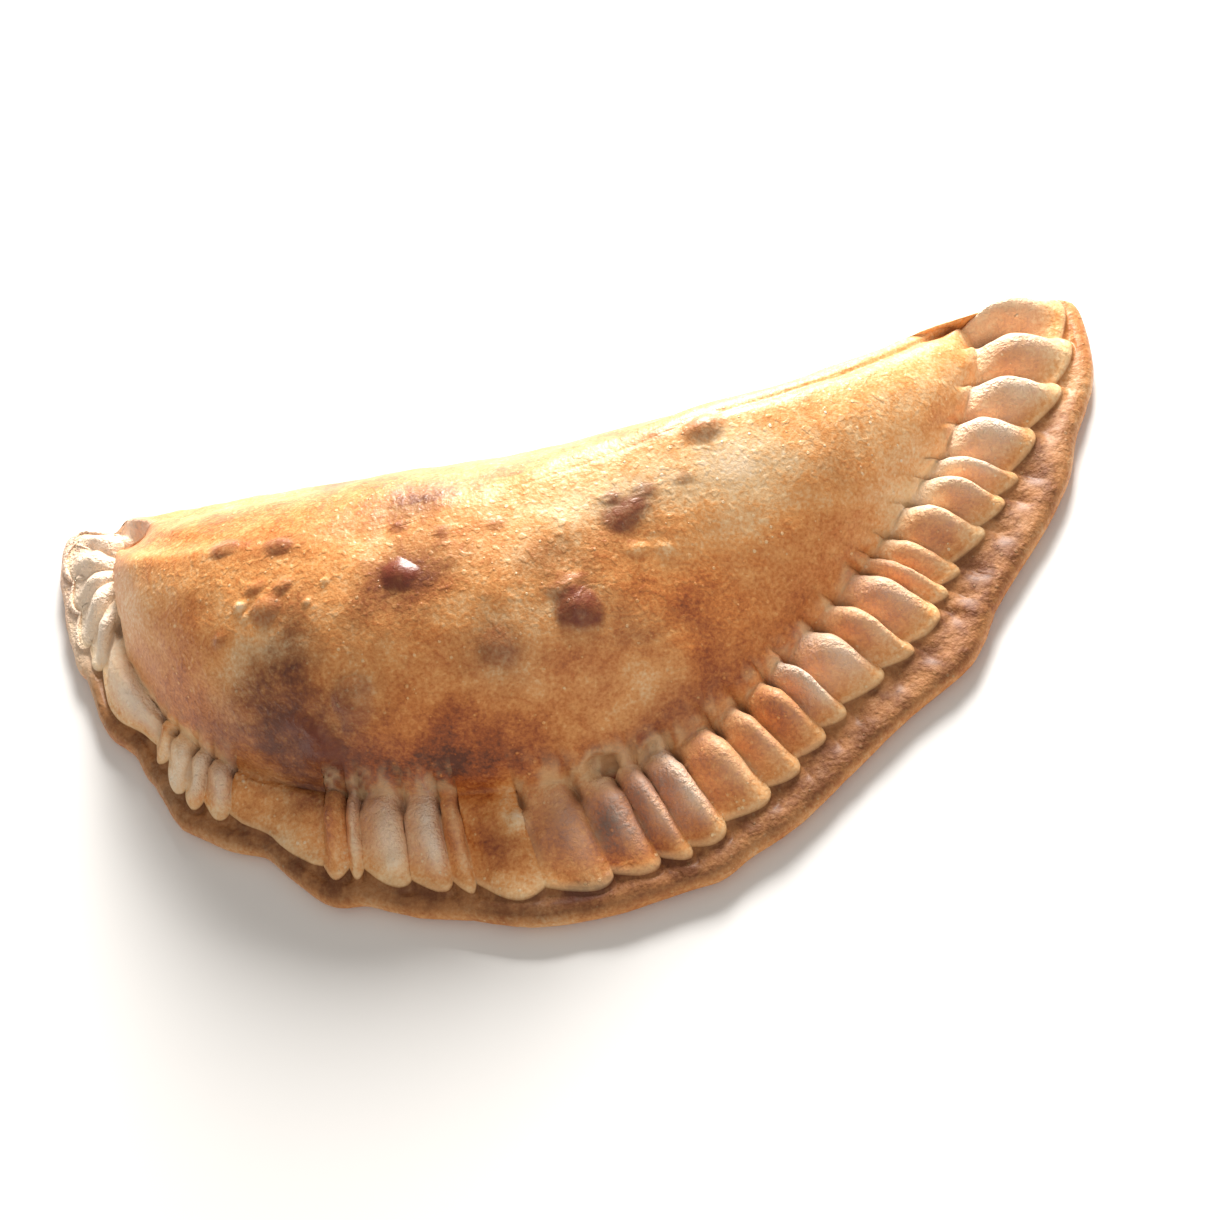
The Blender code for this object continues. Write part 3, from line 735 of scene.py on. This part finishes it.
class Finish:
    """A material on the Principled shader, with one method that adds every node."""

    def __init__(self, name, fixed):
        self.material = bpy.data.materials.new(name)
        self.material.use_nodes = True
        self.tree = self.material.node_tree
        self.surface = self.tree.nodes["Principled BSDF"]
        self.place = self.node("ShaderNodeTexCoord").outputs["Object"]
        for socket, value in fixed.items():
            self.surface.inputs[socket].default_value = value

    def node(self, kind, settings=None, sockets=None):
        made = self.tree.nodes.new(kind)
        for name, setting in (settings or {}).items():
            if name == "stops":
                self.set_stops(made.color_ramp, setting)
            else:
                setattr(made, name, setting)
        for name, value in (sockets or {}).items():
            self.feed(made.inputs[name], value)
        return made

    @staticmethod
    def set_stops(ramp, stops):
        for _ in stops[2:]:
            ramp.elements.new(0.5)
        for element, (position, colour) in zip(ramp.elements, stops):
            element.position, element.color = position, (*colour, 1.0)

    def feed(self, socket, value):
        if isinstance(value, Value):
            value = value.socket
        if isinstance(value, bpy.types.NodeSocket):
            self.tree.links.new(value, socket)
        else:
            socket.default_value = value

    def math(self, operation, first, second):
        return Value(self, self.node("ShaderNodeMath", {"operation": operation}, {0: first, 1: second}).outputs[0])

    def mark(self, name):
        return Value(self, self.node("ShaderNodeAttribute", {"attribute_name": name}).outputs["Fac"])

    def stretched(self, x, y, z):
        sockets = {"Vector": self.place, "Scale": (x, y, z)}
        return self.node("ShaderNodeMapping", None, sockets).outputs["Vector"]

    def mottle(self, size, detail=2.0, roughness=0.5, distortion=0.0, place=None):
        """Cloudy noise from 0 to 1, with patches of about the given size."""
        sockets = {
            "Vector": place or self.place, "Scale": 1.0 / size, "Detail": detail,
            "Roughness": roughness, "Distortion": distortion,
        }
        return Value(self, self.node("ShaderNodeTexNoise", None, sockets).outputs[0])

    def cells(self, size, output="Distance", feature="F1", randomness=1.0):
        sockets = {"Vector": self.place, "Scale": 1.0 / size, "Randomness": randomness}
        return self.node("ShaderNodeTexVoronoi", {"feature": feature}, sockets).outputs[output]

    def ramp(self, value, stops):
        return self.node("ShaderNodeValToRGB", {"stops": stops}, {"Fac": value}).outputs["Color"]

    def blend(self, mask, first, second):
        """Colours mixed by a mask; a plain colour is given as red, green and blue."""
        first, second = ((*colour, 1.0) if isinstance(colour, tuple) else colour for colour in (first, second))
        made = self.node("ShaderNodeMix", {"data_type": "RGBA"}, {0: mask, 6: first, 7: second})
        return made.outputs[2]

    def bump(self, height, distance, strength=1.0):
        sockets = {"Height": height, "Distance": distance, "Strength": strength}
        self.feed(self.surface.inputs["Normal"], self.node("ShaderNodeBump", None, sockets).outputs["Normal"])


def shade(red, green, blue):
    """A colour as it looks on a screen, from 0 to 255, as light that the shaders reckon with."""
    seen = np.array([red, green, blue]) / 255.0
    light = np.where(seen <= 0.04045, seen / 12.92, ((seen + 0.055) / 1.055) ** 2.4)
    return tuple(float(value) for value in light)


BAKED_STOPS = (
    (0.00, shade(253, 232, 204)),
    (0.25, shade(246, 204, 152)),
    (0.45, shade(232, 162, 94)),
    (0.62, shade(208, 126, 60)),
    (0.80, shade(168, 86, 34)),
    (1.00, shade(100, 48, 22)),
)
SCORCHED = shade(70, 32, 18)
SCORCHED_PALE = shade(118, 62, 36)
MAROON = shade(116, 48, 26)
# colour of the flour, also used for the painted highlight on the crests of the pinches
FLOUR_AND_HIGHLIGHT = shade(246, 230, 214)
PALE_DOUGH = shade(242, 214, 166)
LIP_DOUGH = shade(156, 104, 60)
LIP_DOUGH_DARK = shade(90, 48, 18)
# painted shade, for the grooves and for the pits at their inner ends
GROOVE_SHADE = shade(178, 126, 70)
PIT_SHADE = shade(104, 66, 34)
TORN_DOUGH = shade(200, 156, 110)
TOMATO = shade(132, 30, 20)


def baked_dough():
    finish = Finish("baked_dough", {"Specular IOR Level": 0.4, "Coat Weight": 0.18, "Coat Roughness": 0.33})
    marks = {name: finish.mark(name) for name in (
        "scorch", "blister", "flour", "browned", "flank", "lip", "rim", "groove", "pit", "hollow", "pinches",
        "bubble", "shaded", "under", "tone", "sauce")}
    clouds = finish.mottle(34 * MM, 3.0)
    patches = finish.mottle(8 * MM, 3.0, 0.6)
    spots = finish.mottle(2.2 * MM, 3.0, 0.6)
    grain = finish.mottle(0.9 * MM, 2.0, 0.6)
    # pale specks in the grain: partly the dough's own, partly painted glints of the light on its fine bumps
    picked = finish.node("ShaderNodeSeparateColor", None, {"Color": finish.cells(1.7 * MM, "Color")})
    size = Value(finish, picked.outputs[1]) * 0.30 + 0.06
    specks_and_glints = (size - Value(finish, finish.cells(1.7 * MM))).between(0.0, 0.16)
    specks_and_glints = specks_and_glints * Value(finish, picked.outputs[0]).between(0.45, 0.60) * patches.between(0.35, 0.65)
    pimples = finish.mottle(1.8 * MM, 0.0).between(0.60, 0.78)

    baked = 0.50 + (clouds - 0.5) * 0.55 + (patches - 0.5) * 0.45 + (spots - 0.5) * 0.22 + (grain - 0.5) * 0.50
    # the flank mark adds painted shade on each pinch's side away from the light
    baked = baked - marks["pinches"] * 0.16 + marks["browned"] * 0.26 + marks["flank"] * 0.10
    # painted shade darkens the low front of the dome here, and the paler specks and pimples are partly painted glints
    baked = baked - marks["bubble"] * 0.3 - specks_and_glints * 0.28 - pimples * 0.05 + marks["shaded"] * 0.20 + marks["under"] * 0.25
    # baked tone, and a painted sheen where it is paler along the top of the dome
    baked = baked + marks["tone"] * (0.36 + patches * 0.24)
    colour = finish.ramp(baked.clamped(), BAKED_STOPS)
    toasted = (patches.between(0.35, 0.65) + (grain - 0.5) * 0.8 + marks["tone"] * 0.8).clamped()
    colour = finish.blend(marks["lip"] * 0.85, colour, finish.blend(toasted, LIP_DOUGH, LIP_DOUGH_DARK))
    # painted shade in the grooves and in the pits at their inner ends
    colour = finish.blend(marks["groove"] * 0.5, colour, GROOVE_SHADE)
    colour = finish.blend(marks["pit"].clamped() * 0.6, colour, PIT_SHADE)
    colour = finish.blend(marks["hollow"] * 0.8, colour, TORN_DOUGH)
    charred = (marks["scorch"] * (0.20 + spots * 0.9 + grain * 0.6) + (patches - 0.5) * marks["scorch"]).clamped()
    colour = finish.blend(charred * 0.95, colour, finish.blend(grain, SCORCHED, SCORCHED_PALE))
    colour = finish.blend((marks["blister"] * (0.6 + spots * 0.8)).clamped(), colour, MAROON)
    # flour, with a painted highlight along the crests of the pinches
    flour_and_highlight = (marks["flour"] * (grain * 1.0 + spots * 0.8)).clamped()
    colour = finish.blend(flour_and_highlight * 0.80, colour, FLOUR_AND_HIGHLIGHT)
    colour = finish.blend(marks["rim"].clamped() * 0.45, colour, PALE_DOUGH)
    colour = finish.blend(marks["sauce"], colour, TOMATO)
    finish.feed(finish.surface.inputs["Base Color"], colour)

    roughness = 0.46 + flour_and_highlight * 0.35 + marks["lip"] * 0.22 - charred * 0.06 + (grain - 0.5) * 0.2
    finish.feed(finish.surface.inputs["Roughness"], roughness.clamped())
    height = grain * 0.16 + spots * 0.20 + specks_and_glints * 0.17 + pimples * 0.10 + patches * 0.36
    height = height + flour_and_highlight * (grain * 0.35 + spots * 0.45)
    height = height + marks["lip"] * (spots * 0.3 + patches * 0.4)
    finish.bump(height, 1.0 * MM, 1.0)
    return finish.material


def floor_finish():
    finish = Finish("pale_floor", {"Roughness": 0.7})
    colour = finish.blend(finish.mottle(0.6), (0.86, 0.855, 0.85), (0.83, 0.83, 0.83))
    finish.feed(finish.surface.inputs["Base Color"], colour)
    return finish.material


# ======================== floor, light and camera ========================

CAMERA = {
    "aim": (8.4 * MM, -2.2 * MM, 21 * MM),
    "azimuth": 10,              # the camera stands this far round towards +X
    "elevation": 57,
    "roll": -21.2,
    "distance": 0.452,
    "view": 36,                 # degrees across the picture
}
LIGHTS = (                      # name, place, side of the square, watts, warmth as a colour
    ("window", (0.22, 0.89, 0.50), 0.40, 30.0, (1.0, 0.97, 0.93)),
    ("front_fill", (0.30, -0.90, 0.80), 0.90, 2.2, (1.0, 0.92, 0.82)),
)
AMBIENT = 0.42
SKY = (1.0, 0.95, 0.88, 1.0)


def floor():
    bpy.ops.mesh.primitive_plane_add(size=6.0, location=(0.0, 0.0, -0.3 * MM))
    piece = bpy.context.active_object
    piece.name = "floor"
    bpy.ops.object.transform_apply(location=True)
    piece.data.materials.append(floor_finish())


def lights():
    for name, place, side, watts, colour in LIGHTS:
        bpy.ops.object.light_add(type="AREA", location=place)
        lamp = bpy.context.active_object
        lamp.name = name
        lamp.data.size = side
        lamp.data.energy = watts
        lamp.data.color = colour
        lamp.rotation_euler = (-Vector(place)).to_track_quat("-Z", "Y").to_euler()
    world = bpy.data.worlds.new("studio")
    world.use_nodes = True
    world.node_tree.nodes["Background"].inputs["Color"].default_value = SKY
    world.node_tree.nodes["Background"].inputs["Strength"].default_value = AMBIENT
    bpy.context.scene.world = world


def camera():
    azimuth, elevation, roll = (np.radians(CAMERA[name]) for name in ("azimuth", "elevation", "roll"))
    ahead = Vector((
        -np.sin(azimuth) * np.cos(elevation),
        np.cos(azimuth) * np.cos(elevation),
        -np.sin(elevation),
    ))
    level = ahead.cross(Vector((0.0, 0.0, 1.0))).normalized()
    upright = level.cross(ahead)
    right = level * np.cos(roll) + upright * np.sin(roll)
    up = upright * np.cos(roll) - level * np.sin(roll)
    bpy.ops.object.camera_add(location=Vector(CAMERA["aim"]) - ahead * CAMERA["distance"])
    eye = bpy.context.active_object
    eye.rotation_euler = Matrix((right, up, -ahead)).transposed().to_euler()
    eye.data.angle = np.radians(CAMERA["view"])
    eye.data.dof.use_dof = False
    bpy.context.scene.camera = eye


bpy.context.scene.view_settings.view_transform = "Standard"
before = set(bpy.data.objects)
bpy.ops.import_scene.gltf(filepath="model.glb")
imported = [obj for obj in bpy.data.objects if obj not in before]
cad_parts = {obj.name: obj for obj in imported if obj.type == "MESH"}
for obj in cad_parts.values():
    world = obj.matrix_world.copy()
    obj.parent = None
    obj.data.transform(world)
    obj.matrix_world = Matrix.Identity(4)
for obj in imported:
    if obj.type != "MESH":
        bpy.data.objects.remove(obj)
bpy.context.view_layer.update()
bpy.ops.object.select_all(action="DESELECT")

crust_piece = sculpted_crust()
crust_piece.data.materials.append(baked_dough())
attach(crust_piece, "root")
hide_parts("crust")

floor()
lights()
camera()
